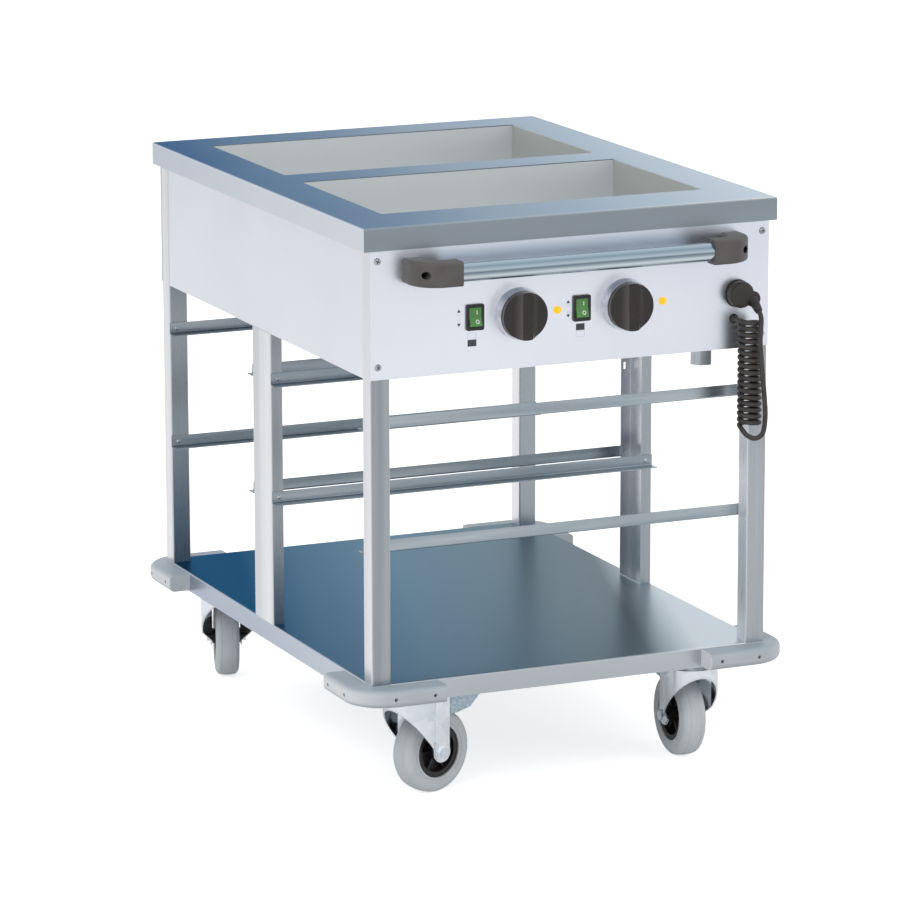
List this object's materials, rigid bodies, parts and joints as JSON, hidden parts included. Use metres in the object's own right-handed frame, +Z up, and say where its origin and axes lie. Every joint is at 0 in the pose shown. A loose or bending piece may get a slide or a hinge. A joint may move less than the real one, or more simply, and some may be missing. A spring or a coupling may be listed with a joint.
{
  "type": "hostess trolley",
  "caption": "Open steel serving trolley with heated pan wells in a folded worktop, pan runners, bottom shelf, push handle and swivel castors.",
  "frame": {"origin": "on the floor under the middle of the overall box, cord left out", "axes": "+X to the right along the push handle, +Y from the handle end to the far end, +Z up"},
  "size_m": [0.696, 0.936, 0.855],
  "materials": {
    "worktop_steel": "brushed",
    "well_steel": "satin",
    "panel_steel": "fine brushed",
    "frame_steel": "brushed",
    "shelf_steel": "brushed",
    "bumper_rubber": "matt light grey",
    "bright_steel": "polished",
    "handle_steel": "polished tube",
    "bracket_plastic": "satin black",
    "switch_plastic": "satin black",
    "rocker_plastic": "gloss green",
    "knob_plastic": "satin black",
    "dial_chrome": "bright",
    "lamp_plastic": "clear amber",
    "thermostat_plastic": "moulded",
    "heater_silicone": "matt",
    "plug_rubber": "matt black",
    "cord_rubber": "matt black",
    "castor_zinc": "zinc plated",
    "fork_zinc": "bright zinc plated",
    "hub_plastic": "moulded black",
    "tyre_rubber": "matt grey",
    "pedal_zinc": "spangled zinc"
  },
  "bodies": {
    "chassis": {"worktop": "worktop_steel", "well_front": "well_steel", "well_rear": "well_steel", "front_panel": "panel_steel", "rear_panel": "panel_steel", "side_panel_left": "panel_steel", "side_panel_right": "panel_steel", "housing_floor": "panel_steel", "post_front_left": "frame_steel", "post_front_right": "frame_steel", "post_rear_left": "frame_steel", "post_rear_right": "frame_steel", "channel_post_left": "frame_steel", "channel_post_right": "frame_steel", "bottom_shelf": "shelf_steel", "cross_members": "frame_steel", "bumper_front_left": "bumper_rubber", "bumper_front_right": "bumper_rubber", "bumper_rear_left": "bumper_rubber", "bumper_rear_right": "bumper_rubber", "runners_front": "frame_steel", "runners_middle_front": "frame_steel", "runners_middle_rear": "frame_steel", "runners_rear": "frame_steel", "rivets": "frame_steel", "screws": "bright_steel", "handle_tube": "handle_steel", "handle_bracket_left": "bracket_plastic", "handle_bracket_right": "bracket_plastic", "switch_frames": "switch_plastic", "dial_rings": "dial_chrome", "pilot_lamps": "lamp_plastic", "thermostats": "thermostat_plastic", "heater_mats": "heater_silicone", "drain_pipe": "bright_steel", "parking_socket": "plug_rubber", "plug": "plug_rubber", "cord_gland": "plug_rubber", "curly_cord": "cord_rubber", "cord_lead": "cord_rubber", "castor_plates": "castor_zinc", "castor_pins": "castor_zinc"},
    "switch_left": {"rocker_left": "rocker_plastic"},
    "switch_right": {"rocker_right": "rocker_plastic"},
    "dial_left": {"knob_left": "knob_plastic"},
    "dial_right": {"knob_right": "knob_plastic"},
    "castor_front_left": {"fork_front_left": "fork_zinc"},
    "wheel_front_left": {"hub_front_left": "hub_plastic", "tyre_front_left": "tyre_rubber"},
    "brake_front_left": {"brake_pedal_left": "pedal_zinc"},
    "castor_front_right": {"fork_front_right": "fork_zinc"},
    "wheel_front_right": {"hub_front_right": "hub_plastic", "tyre_front_right": "tyre_rubber"},
    "brake_front_right": {"brake_pedal_right": "pedal_zinc"},
    "castor_rear_left": {"fork_rear_left": "fork_zinc"},
    "wheel_rear_left": {"hub_rear_left": "hub_plastic", "tyre_rear_left": "tyre_rubber"},
    "castor_rear_right": {"fork_rear_right": "fork_zinc"},
    "wheel_rear_right": {"hub_rear_right": "hub_plastic", "tyre_rear_right": "tyre_rubber"}
  },
  "joints": [
    {"name": "rocker_left_tilt", "type": "hinge", "parent": "chassis", "child": "switch_left", "pos_m": [-0.1537, -0.4065, 0.715], "axis": [1, 0, 0], "range_deg": [0, 18]},
    {"name": "rocker_right_tilt", "type": "hinge", "parent": "chassis", "child": "switch_right", "pos_m": [0.0135, -0.4065, 0.715], "axis": [1, 0, 0], "range_deg": [0, 18]},
    {"name": "knob_left_turn", "type": "hinge", "parent": "chassis", "child": "dial_left", "pos_m": [-0.0845, -0.406, 0.715], "axis": [0, 1, 0], "range_deg": [0, 270]},
    {"name": "knob_right_turn", "type": "hinge", "parent": "chassis", "child": "dial_right", "pos_m": [0.0827, -0.406, 0.715], "axis": [0, 1, 0], "range_deg": [0, 270]},
    {"name": "castor_front_left_swivel", "type": "hinge", "parent": "chassis", "child": "castor_front_left", "pos_m": [-0.226, -0.339, 0.15], "axis": [0, 0, 1], "continuous": true},
    {"name": "wheel_front_left_roll", "type": "hinge", "parent": "castor_front_left", "child": "wheel_front_left", "pos_m": [-0.19007, -0.32663, 0.0625], "axis": [-0.3256, 0.9455, 0], "continuous": true},
    {"name": "brake_front_left_press", "type": "hinge", "parent": "castor_front_left", "child": "brake_front_left", "pos_m": [-0.18629, -0.32533, 0.14], "axis": [-0.3256, 0.9455, 0], "range_deg": [0, 6]},
    {"name": "castor_front_right_swivel", "type": "hinge", "parent": "chassis", "child": "castor_front_right", "pos_m": [0.226, -0.339, 0.15], "axis": [0, 0, 1], "continuous": true},
    {"name": "wheel_front_right_roll", "type": "hinge", "parent": "castor_front_right", "child": "wheel_front_right", "pos_m": [0.22733, -0.30102, 0.0625], "axis": [-0.9994, 0.0349, 0], "continuous": true},
    {"name": "brake_front_right_press", "type": "hinge", "parent": "castor_front_right", "child": "brake_front_right", "pos_m": [0.22747, -0.29703, 0.14], "axis": [-0.9994, 0.0349, 0], "range_deg": [0, 6]},
    {"name": "castor_rear_left_swivel", "type": "hinge", "parent": "chassis", "child": "castor_rear_left", "pos_m": [-0.238, 0.369, 0.15], "axis": [0, 0, 1], "continuous": true},
    {"name": "wheel_rear_left_roll", "type": "hinge", "parent": "castor_rear_left", "child": "wheel_rear_left", "pos_m": [-0.22626, 0.40514, 0.0625], "axis": [-0.9511, 0.309, 0], "continuous": true},
    {"name": "castor_rear_right_swivel", "type": "hinge", "parent": "chassis", "child": "castor_rear_right", "pos_m": [0.238, 0.369, 0.15], "axis": [0, 0, 1], "continuous": true},
    {"name": "wheel_rear_right_roll", "type": "hinge", "parent": "castor_rear_right", "child": "wheel_rear_right", "pos_m": [0.219, 0.40191, 0.0625], "axis": [-0.866, -0.5, 0], "continuous": true}
  ]
}
